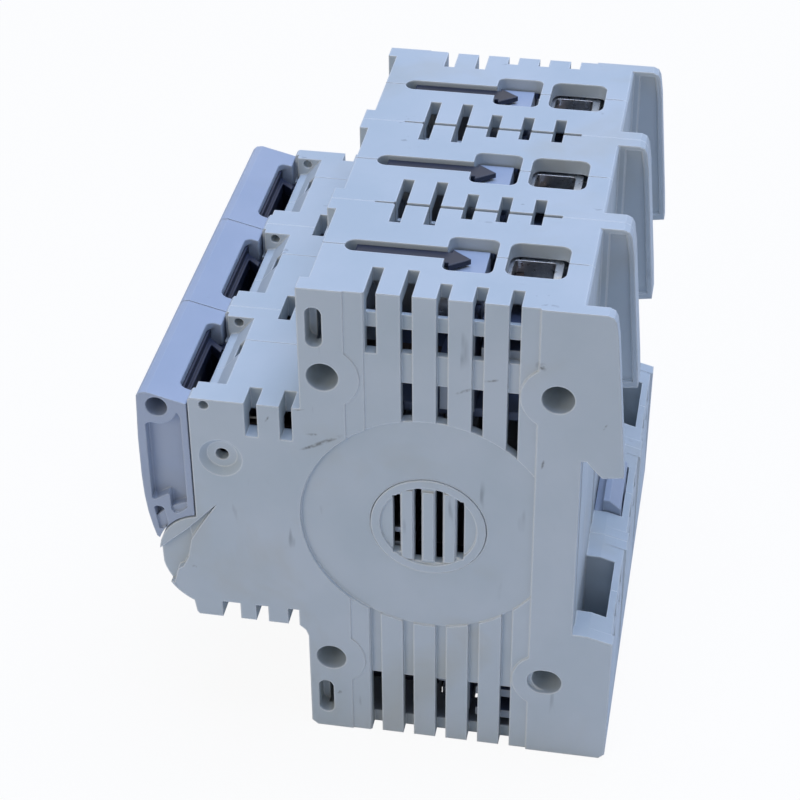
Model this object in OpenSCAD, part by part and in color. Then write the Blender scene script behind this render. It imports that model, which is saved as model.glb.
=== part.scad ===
// Three-pole fuse switch disconnector for a 35 mm mounting rail, in millimetres.
// The front faces -Y, the mounting rail lies behind it, +Z is up and the poles stand side by side
// along X. Every sub-part is drawn about the middle of the rail face and then seated, so that
// the part stands on its lower face and is centred over the origin.

/* [Housing] */
// Width of one pole
pole_w = 27; // [26:0.5:30]
// Height over the terminal blocks
body_h = 90; // [88:1:96]
// Depth from the rail face to the front of the terminal blocks
shoulder_d = 44.3; // [43.5:0.1:46]
// Height of the raised collar round the handles
collar_h = 45; // [44:0.5:47]
// Depth from the rail face to the front of the collar
collar_d = 62.5; // [62:0.1:63.5]
// Thickness of a half shell's side plate
side_wall = 2.4; // [2:0.1:2.8]
// Thickness of the top, bottom, front and rear walls
rim_wall = 2.5; // [2:0.1:3]
// Thickness of the collar's side walls
collar_wall = 3.2; // [3:0.1:3.4]
// Thickness of the partitions inside
rib = 1.6; // [1.2:0.1:2]

/* [Rail seat] */
// Width of the mounting rail
rail_w = 35; // [34:0.5:36]
// Play of the rail between the hook and the ledge
rail_play = 0.7; // [0.4:0.1:1]
// Depth of the hook and of the ledge behind the rail face
hook_d = 6.6; // [6:0.1:8]
// How far the hook reaches down behind the rail's upper edge
hook_reach = 2.9; // [2:0.1:3.5]
// Width of the rail latch
latch_w = 13.8; // [12:0.2:15]
// Travel of the rail latch
latch_travel = 3; // [2:0.2:3.4]

/* [Handle] */
// Depth from the rail face to the front of the handles
handle_d = 71.2; // [70.5:0.1:73]
// Depth of the handle's pivot in front of the rail face
pivot_d = 61.1; // [60.8:0.1:61.4]
// Height of the pivot below the middle of the rail
pivot_drop = 9.5; // [9.2:0.1:9.8]
// Radius of the rounded nose that the handle turns over
nose_r = 8.1; // [7.8:0.1:8.3]
// Angle through which the handles swing open
swing = 60; // [40:5:60]
// Width of the finger notch
notch_w = 19; // [17:0.1:19.4]
// Diameter of the bar that ties the handles together
tie_d = 3.4; // [3:0.1:3.8]

/* [Fuse link] */
// Diameter of the fuse link
fuse_d = 15.3; // [14.5:0.1:15.4]
// Length of the fuse link
fuse_len = 36; // [34:0.5:36]
// Diameter of its lower, keyed end cap
key_cap_d = 11; // [9:0.5:12]
// Length of each end cap
cap_len = 6; // [5:0.1:6.2]

/* [Terminals] */
// Width of the clamp cage
cage_w = 11.2; // [10:0.1:12]
// Depth of the clamp cage
cage_d = 9; // [8.6:0.1:9.2]
// Wall of the clamp cage
cage_wall = 1.25; // [1:0.05:1.4]
// Travel of the clamp cage
cage_travel = 2.4; // [1.5:0.1:2.5]
// Diameter of the terminal screw's thread
screw_d = 5; // [4:0.5:5.5]
// Diameter of the terminal screw's head
screw_head_d = 7.6; // [7:0.1:8]
// Thickness of the copper strips
strip_t = 1.2; // [1:0.1:1.3]
// Width of the copper strips
strip_w = 8.4; // [7:0.2:8.6]

/* [Vents] */
// Width of a vent slot
vent_w = 1.8; // [1.4:0.1:2.2]
// Distance from one vent slot to the next
vent_pitch = 5.5; // [5.2:0.1:5.7]
// Radius of the round shallow field on each side plate
disc_r = 20.9; // [19:0.1:21.5]
// Radius of the round vent grille
grille_r = 9.4; // [8.5:0.1:10]

/* [Fits] */
// Radial clearance of a running fit
run_gap = 0.05; // [0.03:0.01:0.08]
// Gap between pieces that pass each other
pass_gap = 0.3; // [0.25:0.05:0.4]
// Gap between a fixed piece and its pocket
fit_gap = 0.1; // [0.05:0.05:0.2]

/* [Hidden] */
$fn = 64;
eps = 0.01;

// Main levels and lines of the housing, about the middle of the rail face
half_w = pole_w / 2;
top = body_h / 2;
collar_top = collar_h / 2;
shoulder = -shoulder_d;
collar_y = -collar_d;
block_back = -0.5;
rail_top = rail_w / 2 + rail_play / 2;
rail_low = -rail_top;
corner = 0.9;
plate_set = 0.1;
inner_w = half_w - side_wall;
collar_in = half_w - collar_wall;
pivot = [-pivot_d, -pivot_drop];
chin_c = pivot + [1.6, -1.4];
chin_r = nose_r + 1.7;
chin_low = 243;

// Bores for the rivets that hold the poles together, near the corners of the block
rivet_r = 2.55;
rivet_in = 8;
rivet_y = [shoulder + 3.7, block_back - 3.5];
boss_r = rivet_r + 1.6;
term_floor = collar_top + 1;
rivet_z = term_floor + strip_t + boss_r + 0.15;

// The terminal chamber, its partition and the switching chamber below it
term_ceil = top - rim_wall;
term_front = shoulder + rim_wall;
chamber_back = block_back - rim_wall;
main_top = term_floor - rib;
collar_ceil = collar_top - 4.1;
collar_floor = -collar_top + 1.2;
duct_back = shoulder + 7.3;

// Fuse link, in the upright place that it has while the handle is closed
fuse_r = fuse_d / 2;
jaw_front = 3.8;
fuse_y = pivot[0] + 4.9;
fuse_low = collar_floor + pass_gap;
fuse_top = fuse_low + fuse_len;
barrel_r = fuse_r - 0.15;
cheek_in = barrel_r + pass_gap;
cheek_out = collar_in - pass_gap;
cheek_r = fuse_top - cap_len - pivot[1] - 0.8;
hub_r = nose_r - 1.9;
cheek_back = fuse_y - pivot[0] + 5.6;
lower_jaw_back = pivot[0] + 15;
under_a = 181 - swing;

// Terminal: cage, screw and window share these lines
screw_z = top - 7.6;
cage_back = -5.6;
cage_front = cage_back - cage_d;
cage_top = term_ceil - 0.4;
cage_low = rivet_z + boss_r + pass_gap;
bar_y = cage_front + cage_wall + pass_gap;
screw_tip = bar_y - fit_gap;
guide_back = cage_front - cage_travel - 0.2;
guide_front = guide_back - 3.8;
head_back = guide_front - fit_gap;
head_len = 3.4;
window_back = -4.5;
window_front = -13.9;
window_w = 9.5;
key_back = -15.65;
key_front = -23.5;
key_w = 9.8;
slot_w = 3.3;
guide_w = 9.8;
guide_top = top - 2.1;
slot_front = shoulder + 5;
channel_r = screw_head_d / 2 + 0.5;
spring_t = 0.9;

// Vents
vent_first = shoulder + 11.35;
vent_count = 5;
vent_gap_top = top - 10.9;
vent_gap_low = vent_gap_top - 5.5;
vent_deep_right = [7.7, 7.7, 4.7, 4.7, 4.7];
vent_deep_left = [5.8, 5.8, 3.1, 3.1, 3.1];
field_c = [-24.1, 1.1];
field_right = -7.1;
strip_line = shoulder + 7.2;
field_step = 0.2;

// Parting of the two half shells, with a tongue in the collar's top wall
seam_w = 0.08;
seam_deep = 0.25;
tongue = 3.9;
tongue_front = collar_y + 5.3;
ramp_wall = [4.7, 3.2];
dish_c = [collar_y + 4.8, collar_top - 11.3];
dish_r = 3.6;
foot_leg = 1.1;
comb_deep = [4.5, 2.7];

// Notch in a handle's top wall, with the carrier's strip just behind its edge
notch_y = collar_y - 2.5;
strip_y = [notch_y - 0.3, notch_y + 0.4];
cap_wall = 2.1;
cap_ceil = collar_top - 5.4;

// Rail latch
latch_y = [0, 4.6];
latch_top = rail_low + 2.1;
latch_low = -top + latch_travel + 0.5;
latch_bridge = 3.2;
stop_z = latch_low + latch_bridge + pass_gap;
stop_t = 2;
spring_pulled = 8.8;
latch_window = [latch_low + latch_bridge, stop_z + stop_t + spring_pulled + latch_travel];
latch_window_w = 5.4;

pole_x = [pole_w, 0, -pole_w];
seat = [0, (handle_d - hook_d) / 2, body_h / 2];

shell_colour = [0.80, 0.83, 0.86];
handle_colour = [0.74, 0.78, 0.86];
dark_plastic = [0.09, 0.10, 0.14];
copper = [0.72, 0.45, 0.30];
steel = [0.72, 0.73, 0.75];
porcelain = [0.93, 0.92, 0.88];

// Points of an arc about c, from angle a to angle b
function arc(c, r, a, b, n = 8) =
    [for (i = [0:n]) c + r * [cos(a + (b - a) * i / n), sin(a + (b - a) * i / n)]];

// Moves a piece from the rail face to where it stands
module seated() {
    translate(seat) children();
}

// Places a piece that is drawn about the seam of a pole
module in_pole(n) {
    seated() translate([pole_x[n - 1], 0, 0]) children();
}

// Extrudes an outline that is drawn in Y and Z, from x = a to x = b
module along_x(a, b) {
    translate([a, 0, 0]) rotate([90, 0, 90]) linear_extrude(b - a) children();
}

// A box between two corners
module block(a, b) {
    translate(a) cube(b - a);
}

// A round bar along X
module bar_x(y, z, r, a, b) {
    translate([a, y, z]) rotate([0, 90, 0]) cylinder(h = b - a, r = r);
}

// A round bar along Y
module bar_y(x, z, r, a, b) {
    translate([x, b, z]) rotate([90, 0, 0]) cylinder(h = b - a, r = r);
}

// A plate with round corners that lies flat, from z = low to z = high
module round_plate(a, b, r, low, high) {
    translate([0, 0, low]) linear_extrude(high - low) {
        translate(a + [r, 0]) square([b[0] - a[0] - 2 * r, b[1] - a[1]]);
        translate(a + [0, r]) square([b[0] - a[0], b[1] - a[1] - 2 * r]);
        for (x = [a[0] + r, b[0] - r], y = [a[1] + r, b[1] - r]) translate([x, y]) circle(r);
    }
}

// Copies a piece of the upper terminal to the lower one
module lower() {
    mirror([0, 0, 1]) children();
}

// Outline of the collar, its rounded nose and the chin below it
function front_line() = concat(
    [[shoulder, collar_top], [collar_y + 0.4, collar_top], [collar_y, collar_top - 0.4]],
    arc(pivot, nose_r, 100, 184, 12),
    arc(chin_c, chin_r, 191.5, chin_low, 8),
    [[collar_y - 1.1, -collar_top + 0.5], [collar_y - 0.7, -collar_top],
     [shoulder - 1.6, -collar_top], [shoulder - 0.5, -collar_top - 1],
     [shoulder - 0.1, -collar_top - 2.2], [shoulder - 0.1, -top + corner],
     [shoulder + corner, -top]]);

// Outline of a side plate, with the hook over the rail and the ledge under it
module plate_outline() {
    hook_tip = rail_top - hook_reach;
    polygon(concat(
        front_line(),
        [[hook_d - 1.2, -top], [hook_d - 0.2, -top + 1], [hook_d, rail_low - 1.2],
         [hook_d - 1.1, rail_low - 0.9], [2.4, rail_low - 0.1], [0, rail_low],
         [-plate_set, rail_low],
         [-plate_set, rail_top], [0.8, rail_top], [1.5, rail_top - 0.9], [3.3, hook_tip],
         [hook_d, hook_tip + 0.5],
         [hook_d - 0.3, hook_tip + 5], [4.6, top - 4.4], [4.15, top - 1.3], [3.7, top - 0.4],
         [2.8, top]],
        [[shoulder, top]]));
}

// Outline of the housing between the side plates, whose rear face lies flat on the rail
module block_outline() {
    polygon(concat(
        front_line(),
        [[hook_d - 1.2, -top], [hook_d - 0.2, -top + 1], [hook_d - 0.4, rail_low - 1.2],
         [hook_d - 1.5, rail_low - 0.9], [2.4, rail_low - 0.1], [0, rail_low],
         [0, rail_top - 0.2], [block_back, rail_top - 0.2], [block_back, top - 0.4],
         [block_back - 0.4, top]],
        [[shoulder, top]]));
}

// Hollow of a terminal block, drawn for the upper one
module terminal_hollow() {
    difference() {
        polygon([[term_front, term_floor], [chamber_back, term_floor],
                 [chamber_back, term_ceil], [term_front, term_ceil]]);
        for (y = rivet_y) translate([y, rivet_z]) circle(boss_r);
        translate([rivet_y[1], rivet_z - boss_r]) square([boss_r, 2 * boss_r]);
    }
}

// Hollow of the switching chamber behind the fuse link
module main_hollow() {
    polygon([[shoulder + 0.9, -main_top], [chamber_back, -main_top],
             [chamber_back, main_top], [term_front, main_top],
             [term_front, collar_ceil], [shoulder + 0.9, collar_ceil]]);
}

// Hollow of the collar, open at the front where the fuse carrier swings out
module collar_hollow() {
    polygon(concat(
        [[shoulder + 1, collar_ceil], [collar_y - 3, collar_ceil],
         [pivot[0] - nose_r - 3, collar_ceil], [pivot[0] - nose_r - 3, pivot[1] - 0.6]],
        arc(chin_c, chin_r - rib, 183, chin_low - 6, 8),
        [[collar_y + 1.2, collar_floor], [shoulder + 1, collar_floor]]));
}

// Recesses on the outside of a right-hand side plate, one level below the other
module side_relief() {
    out = half_w + 1;
    // The band with the ribs, between the two raised ends
    along_x(half_w - field_step, out) difference() {
        translate([strip_line, -top - 1]) square([field_right - strip_line, body_h + 2]);
        for (z = [-rivet_z, rivet_z], y = rivet_y) translate([y, z]) circle(rivet_r + 3.3);
    }
    along_x(half_w - 2 * field_step, out) difference() {
        translate([vent_first - vent_w / 2 - 0.2, -top - 1])
            square([field_right - vent_first + vent_w / 2 + 0.2, body_h + 2]);
        for (z = [-rivet_z, rivet_z], y = rivet_y) translate([y, z]) circle(rivet_r + 3.3);
    }
    // The round field, cut off by the raised band beside the rail
    along_x(half_w - 3.5 * field_step, out) intersection() {
        translate(field_c) circle(disc_r, $fn = 120);
        translate([field_c[0] - disc_r - 1, field_c[1] - disc_r - 1])
            square([field_right - field_c[0] + disc_r + 1, 2 * disc_r + 2]);
    }
}

// Vent slots of the upper terminal block, which open into its top face
module vents(deep) {
    for (i = [0:vent_count - 1]) {
        y = vent_first + i * vent_pitch;
        block([half_w - deep[i], y - vent_w / 2, vent_gap_top], [half_w + 1, y + vent_w / 2, top + 1]);
        // the groove that joins the upper slot and the lower one
        if (i > 0)
            block([half_w - 1.2, y - vent_w / 2, vent_gap_low - eps],
                  [half_w + 1, y + vent_w / 2, vent_gap_top + eps]);
    }
    // the lower openings run to the edge of the round field
    along_x(half_w - side_wall - 1, half_w + 1) difference() {
        for (i = [1:vent_count - 1])
            translate([vent_first + i * vent_pitch - vent_w / 2, field_c[1]])
                square([vent_w, vent_gap_low - field_c[1]]);
        translate(field_c) circle(disc_r, $fn = 120);
    }
}

// Vent slots of the lower terminal block and the grooves above them
module lower_vents() {
    for (i = [0:vent_count - 1]) {
        y = vent_first + i * vent_pitch;
        block([inner_w - 0.2, y - vent_w / 2, -top - 1],
              [half_w + 1, y + vent_w / 2, -vent_gap_top + 2]);
    }
    along_x(half_w - 1.2, half_w + 1) difference() {
        for (i = [0:vent_count - 1])
            translate([vent_first + i * vent_pitch - vent_w / 2, -vent_gap_top])
                square([vent_w, vent_gap_top]);
        translate(field_c) circle(disc_r, $fn = 120);
    }
}

// Comb of cooling notches at the top and at the foot of the collar
module collar_notches(deep) {
    for (c = [[shoulder - 9.06, 2.06], [shoulder - 3.4, 2]])
        block([half_w - deep, c[0], collar_top - 6.4], [half_w + 1, c[0] + c[1], collar_top + 1]);
    for (c = [[shoulder - 14.8, 3.1], [shoulder - 9, 2.1], [shoulder - 3.5, 1.9]])
        block([half_w - 4.9, c[0], -collar_top - 1], [half_w + 1, c[0] + c[1], -collar_top + 3.3]);
}

// Clearance in the nose's outer face for the tip of the handle
module tip_recess() {
    along_x(half_w - foot_leg - 0.2, half_w + 1)
        polygon([pivot + [-8.9, -0.2], pivot + [-3, 5.3], pivot + [-2.6, 3], pivot + [-3.3, -0.8],
                 pivot + [-4.3, -2.9], pivot + [-5.2, -3.5], pivot + [-6.1, -6.6],
                 pivot + [-10, -6.6]]);
    along_x(half_w - 0.9, half_w + 1)
        polygon([pivot + [-3, 5.3], pivot + [2.2, 11.1], pivot + [-0.6, 6.6], pivot + [-2.6, 3]]);
}

// Slots and openings in the top face, half of which lies in each shell
module top_openings() {
    round_plate([-window_w / 2, window_front], [window_w / 2, window_back], 1.7,
                term_ceil - 1, top + 1);
    round_plate([-key_w / 2, key_front], [key_w / 2, key_back], 1.3, term_ceil - 1, top + 1);
    block([-slot_w / 2, slot_front + slot_w / 2, term_ceil - 1],
          [slot_w / 2, key_front + 1.5, top + 1]);
    translate([0, slot_front + slot_w / 2, term_ceil - 1]) cylinder(h = rim_wall + 2, r = slot_w / 2);
}

// Outer cuts that both terminal blocks share, drawn for the upper one
module terminal_cuts() {
    along_x(-1, inner_w) terminal_hollow();
    // duct for the copper strip, down to the jaws
    block([-1, term_front, collar_ceil], [strip_w / 2 + 1.2, duct_back, term_floor + 1]);
    top_openings();
    bar_y(0, screw_z, channel_r, shoulder - 1, term_front + 1);
    // fine line along the parting of the two half shells
    block([-1, term_front - 1, top - seam_deep], [seam_w, block_back - 1, top + 1]);
    // the shoulder's front is drawn back a little towards its top
    along_x(-1, half_w - collar_wall)
        polygon([[shoulder - 1, top - 6.5], [shoulder, top - 6.5], [shoulder + 1.7, top + 1],
                 [shoulder - 1, top + 1]]);
}

// Ribs that hold the screw guide and steady the clamp cage
module terminal_ribs() {
    intersection() {
        union() {
            block([cage_w / 2 - 0.5, guide_front - rib, term_floor],
                  [inner_w + eps, guide_front - fit_gap, screw_z - screw_head_d / 2]);
            for (z = [cage_low + 0.6, cage_top - 3.2])
                block([cage_w / 2 + pass_gap, guide_back + 1, z],
                      [inner_w + eps, cage_back + 1, z + rib]);
            block([guide_w / 2 + fit_gap, guide_front, term_floor],
                  [inner_w + eps, guide_back, screw_z + 2]);
        }
        along_x(0, inner_w + eps) terminal_hollow();
    }
}

// Narrow bars across the upper vent slots, a little behind the outer face
module vent_bars() {
    for (i = [0:vent_count - 1])
        translate([0, vent_first + i * vent_pitch, vent_gap_top + 4.1])
            block([inner_w, -vent_w / 2 - eps, 0], [half_w - 1.6, vent_w / 2 + eps, 2.6]);
}

// Right-hand half of a pole's housing. deep lists how far in each of its upper vents goes, side
// is the number of the half: 0 for the right and 1 for the left
module half_shell(deep, side) {
    difference() {
        union() {
            along_x(inner_w, half_w) plate_outline();
            along_x(0, inner_w) block_outline();
        }
        terminal_cuts();
        lower() terminal_cuts();
        along_x(-1, inner_w) main_hollow();
        along_x(-1, collar_in) collar_hollow();
        // finger ramp behind the handle's notch, and the step beside it
        along_x(-1, half_w - ramp_wall[side])
            polygon([[collar_y - 1, collar_ceil - 1], [collar_y + 1.1, collar_ceil - 1],
                     [collar_y + 1.1, collar_top - 3.5], [collar_y + 2.5, collar_top - 3.2],
                     [tongue_front, collar_top], [tongue_front, collar_top + 1],
                     [collar_y - 1, collar_top + 1]]);
        block([collar_in - 1.5, collar_y - 1, collar_ceil - 1],
              [half_w - 0.62 * ramp_wall[side], collar_y + 0.7, collar_top + 1]);
        side_relief();
        vents(deep);
        lower_vents();
        collar_notches(comb_deep[side]);
        tip_recess();
        // panel on the inner face of the plate, above the hook
        along_x(inner_w - eps, inner_w + 0.5)
            polygon([[0.6, rail_top + 1.2], [2.2, rail_top + 0.3], [4, rail_top - 1.7],
                     [hook_d - 0.9, rail_top - 1.4], [hook_d - 1.2, rail_top + 2.1],
                     [3.8, top - 4.4], [3.2, top - 0.8], [0.6, top - 0.8]]);
        // round seat of the vent grille
        bar_x(field_c[0], field_c[1], grille_r + fit_gap, inner_w - 1, half_w + 1);
        // obround slots near the front corners
        for (s = [1, -1])
            along_x(inner_w - 1, half_w + 1)
                translate([shoulder + 2.6, s * (top - 6.9)]) {
                    translate([-1.3, -2.3]) square([2.6, 4.6]);
                    for (e = [-2.3, 2.3]) translate([0, e]) circle(1.3);
                }
        for (z = [-rivet_z, rivet_z], y = rivet_y) bar_x(y, z, rivet_r, -1, half_w + 1);
        bar_x(rivet_y[1] - 0.7, -rivet_z, rivet_r, half_w - 0.8, half_w + 1);
        // pivot bore, pin hole and countersunk hole of the collar
        bar_x(pivot[0], pivot[1], 2 + run_gap, collar_in - 1, half_w - 0.9);
        bar_x(collar_y + 2.6, collar_top - 1.1, 0.8, -1, half_w + 1);
        translate([half_w - 1.2, dish_c[0], dish_c[1]]) rotate([0, 90, 0])
            cylinder(h = 1.21, r1 = 2.5, r2 = dish_r);
        bar_x(dish_c[0], dish_c[1], 1.1, collar_in - 1, half_w);
        // pocket for the rail latch
        block([-1, latch_y[0] - fit_gap, -top - 1],
              [latch_w / 2 + pass_gap, latch_y[1] + pass_gap, rail_low + 1]);
        for (z = [rail_low - 1.2 - 3.1, rail_low - 1.2 - 7.6])
            block([2.6, latch_y[1], z], [latch_w / 2 - 0.6, hook_d + 1, z + 3]);
    }
    terminal_ribs();
    lower() terminal_ribs();
    vent_bars();
    // stop for the latch spring, in the window of the latch
    block([0, latch_y[0] - fit_gap - eps, stop_z],
          [latch_window_w / 2 - 0.8, latch_y[1] - 0.6, stop_z + stop_t]);
}

module shell_right(n) {
    color(shell_colour) in_pole(n) {
        half_shell(vent_deep_right, 0);
        // tongue that reaches over into the left half's top wall
        block([-tongue, tongue_front, collar_ceil], [eps, shoulder - seam_w, collar_top]);
    }
}

module shell_left(n) {
    color(shell_colour) in_pole(n) difference() {
        mirror([1, 0, 0]) half_shell(vent_deep_left, 1);
        block([-tongue - seam_w, tongue_front - 1, collar_ceil - 1], [1, shoulder, collar_top + 1]);
    }
}

// Round plug with four upright slots, one in each side plate of a pole
module vent_grille() {
    t = side_wall - 0.5;
    slot_h = [5.9, 7.4, 7.4, 5.9];
    difference() {
        bar_x(field_c[0], field_c[1], grille_r, inner_w, inner_w + t);
        bar_x(field_c[0], field_c[1], grille_r - 1.5, inner_w + t - 0.4, inner_w + t + 1);
        for (i = [0:3])
            block([inner_w - 1, field_c[0] + (i - 1.5) * 3.45 - 0.62, field_c[1] - slot_h[i]],
                  [inner_w + t + 1, field_c[0] + (i - 1.5) * 3.45 + 0.62, field_c[1] + slot_h[i]]);
    }
    // the bars between the slots stand up to the rim again
    for (i = [-1:1])
        block([inner_w + t - 0.4 - eps, field_c[0] + i * 3.45 - 0.9, field_c[1] - grille_r + 2.4],
              [inner_w + t - 0.1, field_c[0] + i * 3.45 + 0.9, field_c[1] + grille_r - 2.4]);
}

module vent_grilles(n) {
    color(shell_colour) in_pole(n) for (s = [0, 1]) mirror([s, 0, 0]) vent_grille();
}

// Outline of a handle from the side, with the concave foot that turns over the nose
module handle_outline() {
    front = -handle_d;
    difference() {
        polygon(concat(
            [[collar_y - 0.3, collar_top - 1.4], [front + 2, collar_top + 0.2],
             [front + 0.9, collar_top], [front + 0.3, collar_top - 0.6]],
            [[front, collar_top - 9], [front + 0.02, 6], [front + 0.2, 2], [front + 0.6, -1.5],
             [front + 1.2, -4.5], [front + 1.7, -6.4], [front + 2.3, -6.9], [front + 2.9, -6.7],
             [collar_y - 0.3, -5]]));
        translate(pivot) circle(nose_r + pass_gap, $fn = 96);
    }
}

// Sunk field on the side of a handle and the small slot below it
module handle_field() {
    front = -handle_d;
    back = collar_y - 1.4;
    foot = pivot[1] + nose_r;
    difference() {
        polygon([[front + 1.4, collar_top - 6.1], [front + 1.7, collar_top - 5.8],
                 [back - 1.9, collar_top - 4.6], [back - 1, collar_top - 3.3],
                 [back - 0.4, collar_top - 3.3], [back, collar_top - 4.2], [back, foot + 1.7],
                 [back - 0.4, foot + 1.2], [back - 1.7, foot + 0.2], [back - 2.3, foot + 0.2],
                 [back - 2.8, foot + 0.9], [back - 2.8, foot + 3.9], [back - 3.1, foot + 4.1],
                 [front + 1.9, foot + 2.6], [front + 1.4, foot + 2.9]]);
        translate([front + 3.5, collar_top - 2.4]) circle(tie_d / 2 + 1.6);
    }
    polygon([[front + 1.6, foot + 0.9], [front + 2, foot + 1.3], [front + 2.9, foot + 1.3],
             [front + 3.3, foot + 0.9], [front + 3.8, foot - 2.2], [front + 3.5, foot - 2.9],
             [front + 2.6, foot - 3.6], [front + 2.2, foot - 3.4]]);
}

// One handle: a cap that is open at the back, with a shallow field on each side
module handle(n) {
    in_w = cheek_out + 0.2;
    front = -handle_d;
    color(handle_colour) in_pole(n) difference() {
        along_x(-half_w + fit_gap, half_w - fit_gap) handle_outline();
        // hollow for the fuse carrier
        along_x(-in_w, in_w)
            polygon([[front + 2, pivot[1] + 3.5], [collar_y + 1, pivot[1] + 3.5],
                     [collar_y + 1, cap_ceil], [front + 2, cap_ceil]]);
        // the middle of the foot is cut back, clear of the chin
        bar_x(pivot[0], pivot[1], chin_r + 0.5, -half_w + foot_leg, half_w - foot_leg);
        // finger notch, wider below for the carrier's strip
        round_plate([-notch_w / 2, notch_y], [notch_w / 2, notch_y + 6], 1.5,
                    collar_top - cap_wall, collar_top + 1);
        block([-notch_w / 2, strip_y[0] - fit_gap, cap_ceil - eps],
              [notch_w / 2, collar_y + 1, collar_top - cap_wall + eps]);
        // side fields, shallow where the foot is thin round the pivot
        for (s = [0, 1]) mirror([s, 0, 0]) {
            along_x(half_w - 1.9, half_w + 1) difference() {
                handle_field();
                translate(pivot) circle(chin_r + 1);
            }
            along_x(half_w - 0.6, half_w + 1) handle_field();
        }
        // bore for the tie bar
        bar_x(front + 3.5, collar_top - 2.4, tie_d / 2 + fit_gap, -half_w - 1, half_w + 1);
    }
}

// Outline of a carrier's cheek: a hub and a sector, undercut where it passes the chin
module cheek() {
    front = -handle_d + 2.3;
    far = 3 * cheek_r;
    translate(pivot) circle(hub_r);
    difference() {
        intersection() {
            translate(pivot) circle(cheek_r, $fn = 96);
            polygon([[front, pivot[1] + 4], pivot + [0, -2], pivot + [cheek_back, -3],
                     pivot + [cheek_back + 1.7, 3], pivot + [cheek_back, cheek_r],
                     [front, pivot[1] + cheek_r]]);
        }
        intersection() {
            translate(pivot) circle(chin_r + pass_gap);
            polygon([pivot, pivot + far * [cos(under_a), sin(under_a)],
                     pivot + [-far, far], pivot + [-far, -far]]);
        }
    }
}

// Dark carrier: a fork whose cheeks turn on stub pins and hold the fuse link between them
module fuse_carrier(n) {
    front = -handle_d + 2.3;
    low = pivot[1] + nose_r + 2;
    high = pivot[1] + cheek_r - 1.5;
    liner = cheek_out - 1.6;
    color(dark_plastic) in_pole(n) {
        difference() {
            union() {
                for (s = [0, 1]) mirror([s, 0, 0]) {
                    along_x(cheek_in, cheek_out) cheek();
                    // stub pin in the shell's pivot bore
                    bar_x(pivot[0], pivot[1], 2, cheek_out - eps, half_w - 1.2);
                    // liner inside the handle's side wall
                    block([liner, front, low], [cheek_out, collar_y + 0.5, cap_ceil - fit_gap]);
                }
                // shelf and front wall inside the handle
                block([-cheek_out, front, low], [cheek_out, fuse_y - 4.2, low + rib]);
                block([-cheek_out, front, low], [cheek_out, front + rib, cap_ceil - fit_gap]);
                // wall that the fuse link leans on, carried up into the finger notch
                block([-cheek_out, strip_y[0], low], [cheek_out, fuse_y - 4.2, high]);
                block([-cheek_out, strip_y[0], low], [cheek_out, strip_y[1], cap_ceil - fit_gap]);
                block([-notch_w / 2 + fit_gap, strip_y[0], low],
                      [notch_w / 2 - fit_gap, strip_y[1], collar_top - cap_wall - fit_gap]);
            }
            // seat of the fuse link
            translate([0, fuse_y, fuse_low - 1]) cylinder(h = fuse_len + 2, r = fuse_r + 0.1);
        }
        // bar across the notch, with a slanting end
        translate([0, 0, cap_ceil]) linear_extrude(1.9)
            polygon([[notch_w / 2 - fit_gap, strip_y[1] - eps], [notch_w / 2 - fit_gap, strip_y[1] + 0.7],
                     [-6.6, strip_y[1] + 0.7], [-4.7, collar_y + 0.7], [-6, collar_y + 0.7],
                     [-8.6, strip_y[1] - eps]]);
    }
}

// Ceramic body of the fuse link
module fuse_barrel(n) {
    color(porcelain) in_pole(n)
        translate([0, fuse_y, fuse_low + cap_len]) cylinder(h = fuse_len - 2 * cap_len, r = barrel_r);
}

// Metal end caps: a full one above and the narrower keyed one below
module fuse_caps(n) {
    color(steel) in_pole(n) translate([0, fuse_y, 0]) {
        rotate_extrude() polygon([[0, fuse_top - cap_len], [fuse_r, fuse_top - cap_len],
                                  [fuse_r, fuse_top - 0.6], [fuse_r - 0.6, fuse_top], [0, fuse_top]]);
        rotate_extrude() polygon([[0, fuse_low + cap_len], [barrel_r, fuse_low + cap_len],
                                  [barrel_r, fuse_low + cap_len - 0.8],
                                  [key_cap_d / 2, fuse_low + cap_len - 1.6],
                                  [key_cap_d / 2, fuse_low + 0.6],
                                  [key_cap_d / 2 - 0.6, fuse_low], [0, fuse_low]]);
    }
}

// Copper strip with a jaw at one end and the terminal bar at the other.
// cap_r is the radius that the jaw grips, from z = low to z = high, and base_y is its back
module contact(cap_r, low, high, base_y) {
    jaw = cap_r + pass_gap;
    front = fuse_y - jaw_front;
    rise_y = term_front + fit_gap;
    for (s = [-1, 1])
        block([s * jaw + (s - 1) / 2 * strip_t, front, low],
              [s * jaw + (s + 1) / 2 * strip_t, base_y + strip_t, high]);
    block([-jaw - strip_t, base_y, low], [jaw + strip_t, base_y + strip_t, high]);
    // strip from the jaw to the terminal
    along_x(-strip_w / 2, strip_w / 2) polygon([
        [base_y, high - strip_t], [rise_y + strip_t, high - strip_t],
        [rise_y + strip_t, term_floor], [bar_y + strip_t, term_floor],
        [bar_y + strip_t, screw_z + screw_d / 2], [bar_y, screw_z + screw_d / 2],
        [bar_y, term_floor + strip_t], [rise_y, term_floor + strip_t],
        [rise_y, high], [base_y, high]]);
}

module contact_upper(n) {
    color(copper) in_pole(n)
        contact(fuse_r, fuse_top - cap_len + 0.5, fuse_top + 0.6, fuse_y + fuse_r + pass_gap);
}

module contact_lower(n) {
    color(copper) in_pole(n) lower()
        contact(key_cap_d / 2, -fuse_low - cap_len + 2, -fuse_low, lower_jaw_back);
}

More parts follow.
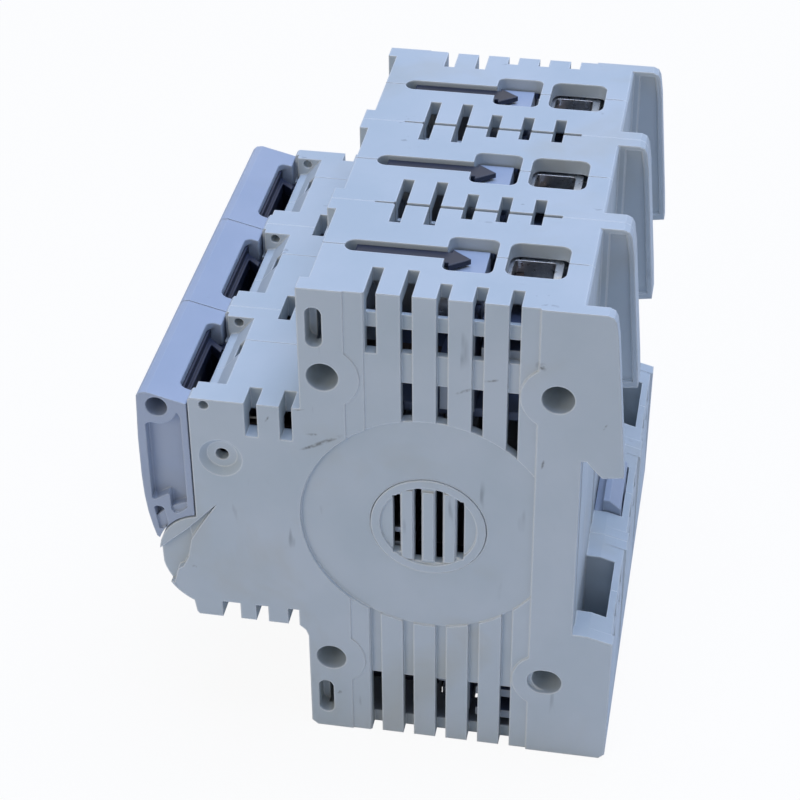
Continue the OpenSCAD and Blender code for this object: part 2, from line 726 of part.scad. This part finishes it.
// Steel springs that close the jaws, one leaf behind each jaw plate
module jaw_springs(n) {
    t = 0.5;
    up = fuse_r + pass_gap + strip_t;
    down = key_cap_d / 2 + pass_gap + strip_t;
    color(steel) in_pole(n) for (s = [0, 1]) mirror([s, 0, 0]) {
        block([up, fuse_y, fuse_top - cap_len + 1.5],
              [up + t, fuse_y + fuse_r + pass_gap, fuse_top - 1.5]);
        block([down, fuse_y - 1, fuse_low + 1],
              [down + t, lower_jaw_back, fuse_low + cap_len - 2.6]);
    }
}

// Stack of slotted steel plates that splits the arc
module arc_plates(n) {
    front = lower_jaw_back + strip_t + 5.8;
    pitch = main_top / 7.3;
    color(steel) in_pole(n) for (i = [0:4]) {
        z = pitch * (i - 4.7);
        difference() {
            block([-inner_w + fit_gap, front, z], [inner_w - fit_gap, front + 11, z + 1]);
            translate([0, 0, z - 1]) linear_extrude(3)
                polygon([[-3, front - 1], [3, front - 1], [0, front + 7]]);
        }
    }
}

// Box clamp that is drawn towards the screw's head and presses the wire on the bar
module cage() {
    w = cage_w / 2;
    difference() {
        round_plate([-w, cage_front], [w, cage_back], 1.2, cage_low, cage_top);
        round_plate([-w + cage_wall, cage_front + cage_wall], [w - cage_wall, cage_back - cage_wall],
                    0.6, cage_low - 1, cage_top + 1);
        bar_y(0, screw_z, screw_d / 2 + run_gap, cage_front - 1, cage_front + cage_wall + 0.1);
    }
}

module cage_upper(n) {
    color(steel) in_pole(n) cage();
}

module cage_lower(n) {
    color(steel) in_pole(n) lower() cage();
}

// Terminal screw with a cross slot, turned from the front
module terminal_screw() {
    difference() {
        union() {
            bar_y(0, screw_z, screw_head_d / 2, head_back - head_len, head_back);
            bar_y(0, screw_z, screw_d / 2, head_back - eps, screw_tip);
        }
        for (a = [0, 90]) translate([0, head_back - head_len, screw_z]) rotate([0, a, 0])
            block([-2.6, -1, -0.5], [2.6, 1.8, 0.5]);
    }
}

module screw_upper(n) {
    color(steel) in_pole(n) terminal_screw();
}

module screw_lower(n) {
    color(steel) in_pole(n) lower() terminal_screw();
}

// Moulded collar that keeps the screw in line, seen through the keyhole opening
module screw_guide() {
    difference() {
        union() {
            block([-guide_w / 2, guide_front, screw_z - 5.2], [guide_w / 2, guide_back, guide_top - 1.4]);
            // flat top that fills the front of the keyhole opening
            block([-guide_w / 2 + 0.4, key_front + 0.55, guide_top - 1.4],
                  [guide_w / 2 - 0.4, guide_back, guide_top]);
        }
        bar_y(0, screw_z, screw_d / 2 + pass_gap, guide_front - 1, guide_back + 1);
    }
}

module screw_guides(n) {
    color(shell_colour) in_pole(n) {
        screw_guide();
        lower() screw_guide();
    }
}

// Dark flat spring that lies in the narrow slot of the top face and ends in an arrow
module cage_spring() {
    w = slot_w / 2 - 0.15;
    tip = key_front + 3.9;
    front = slot_front + slot_w / 2;
    high = top - 0.8;
    block([-w - 1.1, front, term_ceil - spring_t], [w + 1.1, key_front - 0.5, term_ceil]);
    block([-w, front, term_ceil - eps], [w, key_front - 0.3, high]);
    translate([0, 0, high - spring_t]) linear_extrude(spring_t)
        polygon([[-w, front], [w, front], [w, tip - 3.2], [w + 0.9, tip - 3.2], [0, tip],
                 [-w - 0.9, tip - 3.2], [-w, tip - 3.2]]);
}

module cage_springs(n) {
    color(dark_plastic) in_pole(n) {
        cage_spring();
        lower() cage_spring();
    }
}

// Bar through all three handles, a little short of their outer faces
module tie_bar() {
    x = 1.5 * pole_w - 8;
    color(steel) seated() bar_x(-handle_d + 3.5, collar_top - 2.4, tie_d / 2, -x, x);
}

// Tubular rivets that hold the poles together, sunk below the outer faces
module pole_rivets() {
    x = 1.5 * pole_w - rivet_in;
    color(steel) seated() for (z = [-rivet_z, rivet_z], y = rivet_y) difference() {
        bar_x(y, z, rivet_r - fit_gap, -x, x);
        bar_x(y, z, 1.2, -x - 1, -x + 4);
        bar_x(y, z, 1.2, x - 4, x + 1);
    }
}

// Slide that grips the rail's lower edge; only the middle pole has one
module rail_latch() {
    w = latch_w / 2;
    color(handle_colour) seated() difference() {
        union() {
            block([-w, latch_y[0], latch_low], [w, latch_y[1], rail_low - 0.4]);
            along_x(-w, w) polygon([[1.5, rail_low - 0.5], [latch_y[1], rail_low - 0.5],
                                    [latch_y[1], rail_low + 0.4], [2.6, latch_top], [1.5, latch_top]]);
        }
        block([-latch_window_w / 2, latch_y[0] - 1, latch_window[0]],
              [latch_window_w / 2, latch_y[1] + 1, latch_window[1]]);
        // slot for the screwdriver that pulls the latch
        block([-3, latch_y[0] + 1.4, latch_low - 1], [3, latch_y[1] - 1.2, latch_low + 2]);
    }
}

// Coil spring of the latch: a wire swept along a helix, with flat ground ends
module latch_spring() {
    wire = 0.35;
    coil = 1.6;
    turns = 6;
    steps = 14;
    sides = 6;
    low = stop_z + stop_t + wire + 0.02;
    high = latch_window[1] - wire - 0.02;
    count = turns * steps;
    points = [for (i = [0:count], k = [0:sides - 1])
        let (a = 360 * i / steps, b = 360 * k / sides, r = coil + wire * cos(b))
        [r * cos(a), (latch_y[0] + latch_y[1]) / 2 + r * sin(a),
         low + (high - low) * i / count + wire * sin(b)]];
    faces = concat(
        [[for (k = [0:sides - 1]) k]],
        [for (i = [0:count - 1], k = [0:sides - 1])
            [i * sides + k, (i + 1) * sides + k, (i + 1) * sides + (k + 1) % sides,
             i * sides + (k + 1) % sides]],
        [[for (k = [sides - 1:-1:0]) count * sides + k]]);
    color(steel) seated() polyhedron(points, faces);
}

shell_right(1);  // shell_right_1
shell_left(1);  // shell_left_1
vent_grilles(1);  // vent_grilles_1
handle(1);  // handle_1
fuse_carrier(1);  // fuse_carrier_1
fuse_barrel(1);  // fuse_barrel_1
fuse_caps(1);  // fuse_caps_1
contact_upper(1);  // contact_upper_1
contact_lower(1);  // contact_lower_1
jaw_springs(1);  // jaw_springs_1
arc_plates(1);  // arc_plates_1
cage_upper(1);  // cage_upper_1
cage_lower(1);  // cage_lower_1
screw_upper(1);  // screw_upper_1
screw_lower(1);  // screw_lower_1
screw_guides(1);  // screw_guides_1
cage_springs(1);  // cage_springs_1
shell_right(2);  // shell_right_2
shell_left(2);  // shell_left_2
vent_grilles(2);  // vent_grilles_2
handle(2);  // handle_2
fuse_carrier(2);  // fuse_carrier_2
fuse_barrel(2);  // fuse_barrel_2
fuse_caps(2);  // fuse_caps_2
contact_upper(2);  // contact_upper_2
contact_lower(2);  // contact_lower_2
jaw_springs(2);  // jaw_springs_2
arc_plates(2);  // arc_plates_2
cage_upper(2);  // cage_upper_2
cage_lower(2);  // cage_lower_2
screw_upper(2);  // screw_upper_2
screw_lower(2);  // screw_lower_2
screw_guides(2);  // screw_guides_2
cage_springs(2);  // cage_springs_2
shell_right(3);  // shell_right_3
shell_left(3);  // shell_left_3
vent_grilles(3);  // vent_grilles_3
handle(3);  // handle_3
fuse_carrier(3);  // fuse_carrier_3
fuse_barrel(3);  // fuse_barrel_3
fuse_caps(3);  // fuse_caps_3
contact_upper(3);  // contact_upper_3
contact_lower(3);  // contact_lower_3
jaw_springs(3);  // jaw_springs_3
arc_plates(3);  // arc_plates_3
cage_upper(3);  // cage_upper_3
cage_lower(3);  // cage_lower_3
screw_upper(3);  // screw_upper_3
screw_lower(3);  // screw_lower_3
screw_guides(3);  // screw_guides_3
cage_springs(3);  // cage_springs_3
tie_bar();
pole_rivets();
rail_latch();
latch_spring();
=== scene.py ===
# %% [markdown]
# # A three-pole fuse switch disconnector
# The real object is a row of three moulded poles that clip onto a mounting rail.
# Every form on it is rigid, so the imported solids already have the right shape. This
# lesson gives them their surfaces, and lights and frames them as in a product picture.

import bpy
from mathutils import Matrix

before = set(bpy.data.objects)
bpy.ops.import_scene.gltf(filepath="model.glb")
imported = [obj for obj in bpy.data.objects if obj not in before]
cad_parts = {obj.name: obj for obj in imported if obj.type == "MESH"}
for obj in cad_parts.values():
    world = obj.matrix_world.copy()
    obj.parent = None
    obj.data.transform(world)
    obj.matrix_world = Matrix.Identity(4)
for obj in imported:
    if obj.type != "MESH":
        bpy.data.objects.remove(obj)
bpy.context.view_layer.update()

# %% Libraries and units
import math

import bpy
from mathutils import Matrix, Vector

MM = 0.001
print("one millimetre is", MM, "m")

# %% [markdown]
# ## Colours and nodes
# Colours are written as sRGB hex values, the way a colour picker shows them.
# Shaders want linear values, so one function turns one into the other.
# A second function adds a node, sets its values and links its inputs, which keeps
# each material short enough to read as a recipe.

# %% Colour and node helpers
def linear(hex_text):
    """Turns an sRGB hex colour into the linear red, green, blue and alpha of a shader."""
    parts = [int(hex_text[i:i + 2], 16) / 255 for i in (1, 3, 5)]
    return [p / 12.92 if p <= 0.04045 else ((p + 0.055) / 1.055) ** 2.4 for p in parts] + [1.0]


def add(tree, kind, settings=None, links=None):
    """Adds a node, sets its attributes and input values, and links the sockets it is given."""
    node = tree.nodes.new(kind)
    for name, value in (settings or {}).items():
        if isinstance(name, str) and hasattr(node, name):
            setattr(node, name, value)
        else:
            node.inputs[name].default_value = value
    for name, socket in (links or {}).items():
        tree.links.new(socket, node.inputs[name])
    return node


def new_material(name, roughness, metallic=0.0, ior=1.5):
    """Makes a material and returns it, its tree, its main shader and its surface coordinates."""
    material = bpy.data.materials.new(name)
    material.use_nodes = True
    tree = material.node_tree
    shader = tree.nodes["Principled BSDF"]
    shader.inputs["Roughness"].default_value = roughness
    shader.inputs["Metallic"].default_value = metallic
    shader.inputs["IOR"].default_value = ior
    place = add(tree, "ShaderNodeTexCoord").outputs["Object"]
    return material, tree, shader, place


def noise(tree, place, size_mm, detail=3, stretch=(1, 1, 1), distortion=0.0):
    """Noise whose features are about size_mm across, drawn out along an axis by stretch."""
    scaled = add(tree, "ShaderNodeMapping", {"Scale": [1 / s for s in stretch]}, {"Vector": place})
    return add(tree, "ShaderNodeTexNoise",
               {"Scale": 1 / (size_mm * MM), "Detail": detail, "Distortion": distortion},
               {"Vector": scaled.outputs["Vector"]}).outputs["Fac"]


def ramp(tree, value, low, high, bottom=0.0, top=1.0):
    """Maps a value from low..high to bottom..top and clamps it there."""
    return add(tree, "ShaderNodeMapRange",
               {"From Min": low, "From Max": high, "To Min": bottom, "To Max": top},
               {"Value": value}).outputs["Result"]


def blend_colour(tree, factor, first, second):
    """Mixes two colours, each a hex value or a socket, by a factor."""
    mix = add(tree, "ShaderNodeMix", {"data_type": "RGBA"}, {0: factor})
    for slot, colour in ((6, first), (7, second)):
        if isinstance(colour, str):
            mix.inputs[slot].default_value = linear(colour)
        else:
            tree.links.new(colour, mix.inputs[slot])
    return mix.outputs[2]


print("mid grey in linear light:", round(linear("#808080")[0], 3))

# %% [markdown]
# ## Soft edges
# Moulded plastic has no knife edges: the tool leaves a radius of a few tenths of a
# millimetre, and that radius is what catches the light. The Bevel node rounds the
# shading of each edge without touching the mesh. Comparing the rounded normal with
# the flat one also tells where an edge is, and that is where a painted highlight, a
# lighter colour, is laid on.

# %% Edge helpers
BEVEL_SAMPLES = 6
# how far the product of the two normals falls below 1 where an edge starts and is full
EDGE_START = 0.015
EDGE_FULL = 0.08


def round_edges(tree, radius_mm):
    """Returns the normal of a surface whose edges are rounded to radius_mm."""
    return add(tree, "ShaderNodeBevel",
               {"samples": BEVEL_SAMPLES, "Radius": radius_mm * MM}).outputs["Normal"]


def edge_mask(tree, rounded):
    """Gives 1 at the edges, where the rounded normal leaves the flat one, and 0 elsewhere."""
    flat = add(tree, "ShaderNodeNewGeometry").outputs["True Normal"]
    dot = add(tree, "ShaderNodeVectorMath", {"operation": "DOT_PRODUCT"}, {0: rounded, 1: flat})
    return ramp(tree, dot.outputs["Value"], 1 - EDGE_START, 1 - EDGE_FULL)


def grain_bump(tree, rounded, height, depth_mm, strength=1.0):
    """Adds a height pattern to the rounded normal."""
    return add(tree, "ShaderNodeBump", {"Strength": strength, "Distance": depth_mm * MM},
               {"Height": height, "Normal": rounded}).outputs["Normal"]


print("edge radii are drawn by shading, so the solids keep their size")

# %% [markdown]
# ## Where the light doesn't reach
# The inside of each pole is painted darker than its outside: painted shade, standing in
# for the shade where the light doesn't reach. A box says where "inside" is: the distance
# of a point from the box is the largest of its three distances along the axes. The
# poles repeat along X, so X is wrapped to one pole.

# %% Inside mask
PITCH_MM = 27
MIDDLE_Z_MM = 45


def inside_mask(tree, place, boxes_mm, soft_mm=0.4):
    """Gives 1 inside any of the boxes, each a centre and half sizes about a pole, and 0 outside."""
    axes = add(tree, "ShaderNodeSeparateXYZ", None, {"Vector": place})
    half_pitch = PITCH_MM / 2 * MM
    wrapped = add(tree, "ShaderNodeMath", {"operation": "WRAP", 1: half_pitch, 2: -half_pitch},
                  {0: axes.outputs["X"]}).outputs[0]
    point = add(tree, "ShaderNodeCombineXYZ", None,
                {"X": wrapped, "Y": axes.outputs["Y"], "Z": axes.outputs["Z"]}).outputs[0]
    total = None
    for centre, half_size in boxes_mm:
        away = add(tree, "ShaderNodeVectorMath",
                   {"operation": "SUBTRACT", 1: [c * MM for c in centre]}, {0: point})
        away = add(tree, "ShaderNodeVectorMath", {"operation": "ABSOLUTE"}, {0: away.outputs[0]})
        away = add(tree, "ShaderNodeVectorMath",
                   {"operation": "SUBTRACT", 1: [h * MM for h in half_size]}, {0: away.outputs[0]})
        parts = add(tree, "ShaderNodeSeparateXYZ", None, {"Vector": away.outputs[0]})
        far = add(tree, "ShaderNodeMath", {"operation": "MAXIMUM"},
                  {0: parts.outputs["X"], 1: parts.outputs["Y"]})
        far = add(tree, "ShaderNodeMath", {"operation": "MAXIMUM"},
                  {0: far.outputs[0], 1: parts.outputs["Z"]})
        one = ramp(tree, far.outputs[0], -soft_mm * MM, 0, 1, 0)
        total = one if total is None else add(
            tree, "ShaderNodeMath", {"operation": "MAXIMUM"}, {0: total, 1: one}).outputs[0]
    return total


# the terminal and contact chamber, and the one behind the handle, which get painted shade
CHAMBERS_MM = [((0, 10.1, MIDDLE_Z_MM), (11.3, 14.1, 42.7)),
               ((0, -19, MIDDLE_Z_MM), (10.6, 11, 18.7))]
print("chambers with soot:", len(CHAMBERS_MM))

# %% [markdown]
# ## Scuffs from a tool
# The outer side plate carries a few dark scuffs where a tool slipped. Each one is a
# thin ellipse: the surface point is moved to its centre, turned upright and divided
# by its half length and half width, and its length then is 1 on the ellipse.

# %% Scuff mask
SCUFFS_MM = [
    # y, z, half length, half width, angle in degrees
    (-10.2, 62.8, 0.9, 0.22, 5), (-8.4, 61.5, 3.2, 0.35, 29), (-10.6, 60.3, 1.6, 0.3, 24),
    (-17.4, 64.9, 0.6, 0.18, 60), (-12.3, 67.3, 0.9, 0.15, 10), (-7.2, 8.2, 0.5, 0.4, 0),
    (13.9, 73.7, 1.4, 0.25, 25), (18.0, 76.1, 1.2, 0.22, 12), (25.5, 79.8, 0.8, 0.7, 0),
    (26.3, 61.5, 0.8, 0.2, 80), (-31.2, 32.8, 0.4, 0.3, 0), (35.6, 69.8, 0.6, 0.15, 60),
]
OUTER_X_MM = 40.2
SKIN_MM = 0.6


def scuff_mask(tree, place):
    """Gives up to 1 inside the scuffs of the outer side plate, broken up by a noise."""
    total = None
    for y, z, long_half, thin_half, angle in SCUFFS_MM:
        away = add(tree, "ShaderNodeVectorMath", {"operation": "SUBTRACT", 1: (0, y * MM, z * MM)},
                   {0: place})
        turned = add(tree, "ShaderNodeVectorRotate",
                     {"rotation_type": "X_AXIS", "Angle": -math.radians(angle)},
                     {"Vector": away.outputs[0]})
        scaled = add(tree, "ShaderNodeVectorMath",
                     {"operation": "MULTIPLY", 1: (0, 1 / (long_half * MM), 1 / (thin_half * MM))},
                     {0: turned.outputs[0]})
        reach = add(tree, "ShaderNodeVectorMath", {"operation": "LENGTH"}, {0: scaled.outputs[0]})
        one = ramp(tree, reach.outputs["Value"], 0.4, 1.3, 1, 0)
        total = one if total is None else add(
            tree, "ShaderNodeMath", {"operation": "MAXIMUM"}, {0: total, 1: one}).outputs[0]
    across = add(tree, "ShaderNodeSeparateXYZ", None, {"Vector": place}).outputs["X"]
    outer = ramp(tree, across, (OUTER_X_MM - SKIN_MM) * MM, OUTER_X_MM * MM)
    broken = ramp(tree, noise(tree, place, 0.7, 3), 0.36, 0.58)
    kept = add(tree, "ShaderNodeMath", {"operation": "MULTIPLY"}, {0: total, 1: outer}).outputs[0]
    return add(tree, "ShaderNodeMath", {"operation": "MULTIPLY"}, {0: kept, 1: broken}).outputs[0]


print("scuffs on the side plate:", len(SCUFFS_MM))

# %% [markdown]
# ## The housing: moulded polyamide
# The shells are a light grey glass-filled polyamide, moulded against a fine spark
# eroded tool. To the eye that gives a dull satin surface with a very fine grain, a
# faint cloudiness where the melt flowed, and, on a used device, grey rub marks and a few
# yellowish smudges; every edge gets a painted highlight. The grain of the real tool
# is about 0.05 mm, too fine to show at this size, so it is drawn at 0.22 mm. The painted
# shade inside the poles comes last, so it covers the marks and edge highlights there.

# %% Moulded plastics
EDGE_RADIUS_MM = 0.45
GRAIN_MM = 0.22
GRAIN_DEPTH_MM = 0.012
RUB_COLOUR = "#6E747C"
SCUFF_COLOUR = "#5A564F"


def moulded_plastic(name, colour, cloud, edge_highlight, dirt, roughness, rub=0.5, smudge=0.35, painted_shade=None):
    """A satin moulded plastic with grain, flow clouds, rub marks, smudges, painted highlights on
    its edges and, where a shade colour is given, scuffs and painted shade inside the poles.
    """
    material, tree, shader, place = new_material(name, roughness, ior=1.53)
    rounded = round_edges(tree, EDGE_RADIUS_MM)
    clouds = ramp(tree, noise(tree, place, 16, 4), 0.35, 0.65)
    base = blend_colour(tree, clouds, colour, cloud)
    # smudges lie in soft patches, broken up by a finer noise
    patches = ramp(tree, noise(tree, place, 22, 5, distortion=0.6), 0.56, 0.74, 0, smudge)
    base = blend_colour(tree, patches, base, dirt)
    # rub marks are short, thin and run nearly upright
    marks = noise(tree, place, 1.6, 2, stretch=(1, 1.6, 9))
    where = ramp(tree, noise(tree, place, 12, 2), 0.56, 0.66)
    lines = ramp(tree, marks, 0.66, 0.72, 0, rub)
    both = add(tree, "ShaderNodeMath", {"operation": "MULTIPLY"}, {0: lines, 1: where}).outputs[0]
    base = blend_colour(tree, both, base, RUB_COLOUR)
    if painted_shade:
        scuffs = ramp(tree, scuff_mask(tree, place), 0, 1, 0, 0.7)
        base = blend_colour(tree, scuffs, base, SCUFF_COLOUR)
    # painted highlight: a lighter colour laid along every edge
    edges = ramp(tree, edge_mask(tree, rounded), 0, 1, 0, 0.85)
    base = blend_colour(tree, edges, base, edge_highlight)
    # painted shade: the inside of each pole is darkened towards a dark blue-grey
    if painted_shade:
        base = blend_colour(tree, inside_mask(tree, place, CHAMBERS_MM), base, painted_shade)
    tree.links.new(base, shader.inputs["Base Color"])
    fine = noise(tree, place, GRAIN_MM, 2)
    tree.links.new(grain_bump(tree, rounded, fine, GRAIN_DEPTH_MM, 0.5), shader.inputs["Normal"])
    tree.links.new(ramp(tree, clouds, 0, 1, roughness - 0.05, roughness + 0.06),
                   shader.inputs["Roughness"])
    return material


# the fourth colour of each is its painted edge highlight; the last colour given to the shell is
# painted shade inside the poles
polyamide_grey = moulded_plastic("polyamide_light_grey", "#BFC7CD", "#B7C1C7", "#ECEFEF",
                                 "#B2AE9E", 0.5, painted_shade="#4C5874")
polyamide_handle = moulded_plastic("polyamide_handle_grey", "#AAB4C6", "#A2ADC0", "#C2CBD9",
                                   "#A9AAA6", 0.42, rub=0.35, smudge=0.2)
polyamide_black = moulded_plastic("polyamide_black", "#131A2E", "#182036", "#2E3650",
                                  "#20242E", 0.4, rub=0.2, smudge=0.2)
print("moulded plastics:", polyamide_grey.name, polyamide_handle.name, polyamide_black.name)

# %% [markdown]
# ## The metals
# The clamps and screws are steel with a bright zinc plating, which is nearly white
# and slightly cloudy. The splitter plates are plain stamped sheet with a rolled
# grain, the strips are bare copper that has tarnished in patches, and the springs
# are drawn wire. Metals keep the default IOR: their colour is the reflection.

# %% Metals
METAL_EDGE_MM = 0.15
METAL_GRAIN_DEPTH_MM = 0.01


def rolled_metal(name, bright, dull, roughness, grain_mm, grain_along, tarnish=None):
    """A sheet or wire metal with a drawn grain, and patches of tarnish where given."""
    material, tree, shader, place = new_material(name, roughness, metallic=1.0)
    rounded = round_edges(tree, METAL_EDGE_MM)
    grain = noise(tree, place, grain_mm, 3, stretch=grain_along)
    base = blend_colour(tree, ramp(tree, grain, 0.3, 0.7), bright, dull)
    if tarnish:
        patches = ramp(tree, noise(tree, place, 3.5, 4), 0.5, 0.7, 0, 0.7)
        base = blend_colour(tree, patches, base, tarnish)
    tree.links.new(base, shader.inputs["Base Color"])
    tree.links.new(ramp(tree, grain, 0.3, 0.7, roughness - 0.06, roughness + 0.1),
                   shader.inputs["Roughness"])
    tree.links.new(grain_bump(tree, rounded, grain, METAL_GRAIN_DEPTH_MM, 0.4),
                   shader.inputs["Normal"])
    return material


zinc_plated = rolled_metal("steel_bright_zinc_plated", "#E4E6EA", "#C6CBD3", 0.3, 0.8, (1, 1, 1))
stamped_sheet = rolled_metal("steel_stamped_sheet", "#9A9DA2", "#7F8388", 0.42, 0.3, (8, 1, 1))
spring_wire = rolled_metal("steel_spring_drawn", "#A6A9AE", "#85898F", 0.32, 0.2, (1, 1, 5))
copper_strip = rolled_metal("copper_rolled", "#675850", "#4C433F", 0.42, 0.3, (1, 1, 9), "#2B2932")
silver_caps = rolled_metal("copper_cap_silver_plated", "#B9B8B4", "#A3A29E", 0.34, 0.5, (1, 1, 4),
                           "#8C867B")
metals = (zinc_plated, stamped_sheet, spring_wire, copper_strip, silver_caps)
print("metals:", ", ".join(metal.name for metal in metals))

# %% [markdown]
# ## The fuse link's body: steatite
# A bottle fuse has a pressed and fired ceramic body: off-white, smooth, unglazed but
# dense, with tiny dark specks from the kiln.

# %% Ceramic
CERAMIC_EDGE_MM = 0.2
CERAMIC_SKIN_MM = 0.3


def fired_ceramic(name, colour, speck, roughness):
    """An unglazed technical ceramic with fine kiln specks."""
    material, tree, shader, place = new_material(name, roughness, ior=1.6)
    rounded = round_edges(tree, CERAMIC_EDGE_MM)
    specks = ramp(tree, noise(tree, place, 0.5, 1), 0.74, 0.78)
    tree.links.new(blend_colour(tree, specks, colour, speck), shader.inputs["Base Color"])
    skin = noise(tree, place, CERAMIC_SKIN_MM, 3)
    tree.links.new(grain_bump(tree, rounded, skin, 0.01, 0.3), shader.inputs["Normal"])
    return material


steatite = fired_ceramic("steatite_fired", "#ECE8DE", "#A59C8C", 0.35)
print("ceramic made:", steatite.name)

# %% [markdown]
# ## Dressing the nodes
# Every solid gets the finish of the real piece. The names of the solids say what
# they are, so a short table from the first words of a name to a finish is enough.

# %% Materials onto the nodes
finishes = {
    "shell": polyamide_grey, "vent_grilles": polyamide_grey, "screw_guides": polyamide_handle,
    "handle": polyamide_handle, "rail_latch": polyamide_handle,
    "fuse_carrier": polyamide_black, "cage_springs": polyamide_black,
    "fuse_barrel": steatite, "fuse_caps": silver_caps, "contact": copper_strip,
    "jaw_springs": spring_wire, "latch_spring": spring_wire, "arc_plates": stamped_sheet,
    "cage_upper": zinc_plated, "cage_lower": zinc_plated, "screw_upper": zinc_plated,
    "screw_lower": zinc_plated, "tie_bar": zinc_plated, "pole_rivets": zinc_plated,
}


def finish_for(node_name):
    """Finds the finish whose key is the longest that the node's name starts with."""
    return finishes[max((k for k in finishes if node_name.startswith(k)), key=len)]


for node_name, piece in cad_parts.items():
    piece.data.materials.clear()
    piece.data.materials.append(finish_for(node_name))
print("dressed", len(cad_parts), "nodes")

# %% [markdown]
# ## The floor and the light
# The product picture shows the object on plain white, from above. The floor is white
# to the camera and in reflections, but it still takes the object's shadow. Big soft
# lamps stand above and in front; the sky light is a little blue, as in the picture,
# where the faces that look up are bluer than the upright ones.

# %% White surroundings
SKY_STRENGTH = 0.27
SKY_COLOUR = "#E9EEF8"


def white_to_camera(sky, strength, colour):
    """Makes a world white to camera, glossy and transmission rays, and dimmer to the rest."""
    tree = sky.node_tree
    tree.nodes.clear()
    path = add(tree, "ShaderNodeLightPath")
    seen = add(tree, "ShaderNodeMath", {"operation": "MAXIMUM"},
               {0: path.outputs["Is Camera Ray"], 1: path.outputs["Is Glossy Ray"]})
    seen = add(tree, "ShaderNodeMath", {"operation": "MAXIMUM"},
               {0: seen.outputs[0], 1: path.outputs["Is Transmission Ray"]})
    dim = add(tree, "ShaderNodeBackground", {"Color": colour, "Strength": strength})
    white = add(tree, "ShaderNodeBackground", {"Color": (1, 1, 1, 1), "Strength": 1.0})
    mix = add(tree, "ShaderNodeMixShader", None,
              {0: seen.outputs[0], 1: dim.outputs[0], 2: white.outputs[0]})
    add(tree, "ShaderNodeOutputWorld", None, {"Surface": mix.outputs[0]})


world = bpy.data.worlds.new("studio")
world.use_nodes = True
bpy.context.scene.world = world
white_to_camera(world, SKY_STRENGTH, linear(SKY_COLOUR))
print("sky strength for the light:", SKY_STRENGTH)

# %% The floor
FLOOR_SIZE = 3.0
FLOOR_DROP = 0.0002
FLOOR_GLOW = 0.93
floor_mesh = bpy.data.meshes.new("floor")
half = FLOOR_SIZE / 2
floor_mesh.from_pydata([(-half, -half, 0), (half, -half, 0), (half, half, 0), (-half, half, 0)],
                       [], [(0, 1, 2, 3)])
floor = bpy.data.objects.new("floor", floor_mesh)
bpy.context.scene.collection.objects.link(floor)
floor.location.z = -FLOOR_DROP
paper, tree, shader, place = new_material("paper_white", 0.9)
shader.inputs["Base Color"].default_value = linear("#F4F4F4")
shader.inputs["Specular IOR Level"].default_value = 0.0
path = add(tree, "ShaderNodeLightPath")
glow = add(tree, "ShaderNodeEmission", {"Color": (1, 1, 1, 1), "Strength": 1.0})
share = add(tree, "ShaderNodeMath", {"operation": "MULTIPLY", 1: FLOOR_GLOW},
            {0: path.outputs["Is Camera Ray"]})
mix = add(tree, "ShaderNodeMixShader", None,
          {0: share.outputs[0], 1: shader.outputs[0], 2: glow.outputs[0]})
tree.links.new(mix.outputs[0], tree.nodes["Material Output"].inputs["Surface"])
floor.data.materials.append(paper)
print("floor of", FLOOR_SIZE, "m")


# %% The lamps
def soft_lamp(name, place_m, target_m, size_m, watts, colour):
    """A square area lamp that looks at a target."""
    data = bpy.data.lights.new(name, "AREA")
    data.shape = "SQUARE"
    data.size = size_m
    data.energy = watts
    data.color = linear(colour)[:3]
    lamp = bpy.data.objects.new(name, data)
    bpy.context.scene.collection.objects.link(lamp)
    lamp.location = place_m
    aim = Vector(target_m) - Vector(place_m)
    lamp.rotation_euler = aim.to_track_quat("-Z", "Y").to_euler()
    return lamp


middle = (0, 0, MIDDLE_Z_MM * MM)
soft_lamp("overhead", (-0.1, 0.1, 0.9), middle, 0.7, 7.6, "#BED5FF")
soft_lamp("front_fill", (0.8, -0.5, 0.4), middle, 0.6, 2.15, "#FFF3DE")

# %% [markdown]
# ## The camera
# The picture was taken from the right, above and slightly behind, with a long lens.
# The camera's axes were worked out from the parallel edges of the poles, and its
# distance from the poles' pitch, so the object lies in the frame as in the picture.
# The picture was cropped, so the lens is shifted to bring its centre back.

# %% Camera
IMAGE_PX = 800
FOCAL_PX = 2151.2
CENTRE_PX = (385.69, 395.19)
SENSOR_MM = 36
camera_data = bpy.data.cameras.new("camera")
camera_data.sensor_width = SENSOR_MM
camera_data.lens = FOCAL_PX / IMAGE_PX * SENSOR_MM
camera_data.shift_x = (IMAGE_PX / 2 - CENTRE_PX[0]) / IMAGE_PX
camera_data.shift_y = (CENTRE_PX[1] - IMAGE_PX / 2) / IMAGE_PX
right = Vector((-0.18250, 0.98314, -0.01139))
down = Vector((0.57325, 0.09699, -0.81362))
forward = Vector((-0.79880, -0.15501, -0.58129))
CAMERA_PLACE = (0.30487, 0.05299, 0.26419)
camera = bpy.data.objects.new("camera", camera_data)
bpy.context.scene.collection.objects.link(camera)
axes = Matrix((right, -down, -forward)).transposed()
camera.matrix_world = Matrix.Translation(CAMERA_PLACE) @ axes.to_4x4()
bpy.context.scene.camera = camera
bpy.context.scene.view_settings.view_transform = "Standard"
print("lens", round(camera_data.lens, 1), "mm")

# %% End
print("done")
